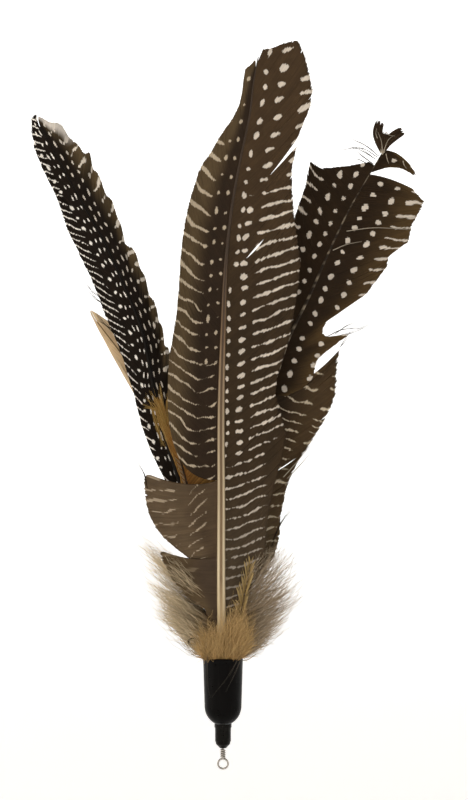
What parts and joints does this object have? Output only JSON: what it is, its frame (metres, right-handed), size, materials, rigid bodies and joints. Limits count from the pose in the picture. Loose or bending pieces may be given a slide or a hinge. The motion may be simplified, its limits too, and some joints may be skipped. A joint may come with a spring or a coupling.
{
  "type": "feather teaser lure",
  "caption": "Feather lure for a cat wand: long spotted feathers and down glued into an end cap that hangs from a barrel swivel with a wire eye.",
  "frame": {"origin": "centre of the wire eye's loop", "axes": "+Z along the end cap towards the feather tips, +X across the spread of the feathers, +Y to the back of the bunch, along the eye's hole"},
  "size_m": [0.119, 0.0235, 0.2177],
  "materials": {
    "wire": "bright nickel-plated wire",
    "swivel_black": "black nickel over brass, satin",
    "cap_black": "moulded, satin with fine scuffs",
    "glue": "set hot-melt glue",
    "quill_pale": "pale keratin, satin",
    "quill_dark": "dark keratin, satin",
    "vane_spotted": "grey-brown barbs with off-white spots and bars",
    "vane_dark": "near-black barbs with white spots",
    "vane_brown": "golden brown barbs",
    "down": "loose tan down"
  },
  "bodies": {
    "eye": {"swivel_eye": "wire"},
    "barrel": {"swivel_barrel": "swivel_black"},
    "lure": {"swivel_anchor": "wire", "end_cap": "cap_black", "glue_plug": "glue", "centre_quill": "quill_pale", "centre_vane_left_upper": "vane_spotted", "centre_vane_left_middle": "vane_spotted", "centre_vane_left_base": "vane_spotted", "centre_vane_right": "vane_spotted", "left_quill": "quill_dark", "left_vane_outer": "vane_dark", "left_vane_inner": "vane_dark", "right_quill": "quill_dark", "right_vane_inner": "vane_dark", "right_vane_outer": "vane_dark", "right_vane_base": "vane_dark", "right_tip_tuft": "vane_dark", "right_tip_barbs": "vane_dark", "brown_quill": "quill_dark", "brown_vane_left": "vane_brown", "brown_vane_right": "vane_brown", "amber_quill": "quill_dark", "amber_vane_left": "vane_brown", "amber_vane_right": "vane_brown", "golden_plume": "vane_brown", "down_left": "down", "down_right": "down", "down_front": "down", "down_back": "down"}
  },
  "joints": [
    {"name": "barrel_spin", "type": "hinge", "parent": "eye", "child": "barrel", "pos_m": [0, 0, 0.008], "axis": [0, 0, 1], "continuous": true},
    {"name": "lure_spin", "type": "hinge", "parent": "barrel", "child": "lure", "pos_m": [0, 0, 0.012], "axis": [0, 0, 1], "continuous": true}
  ]
}
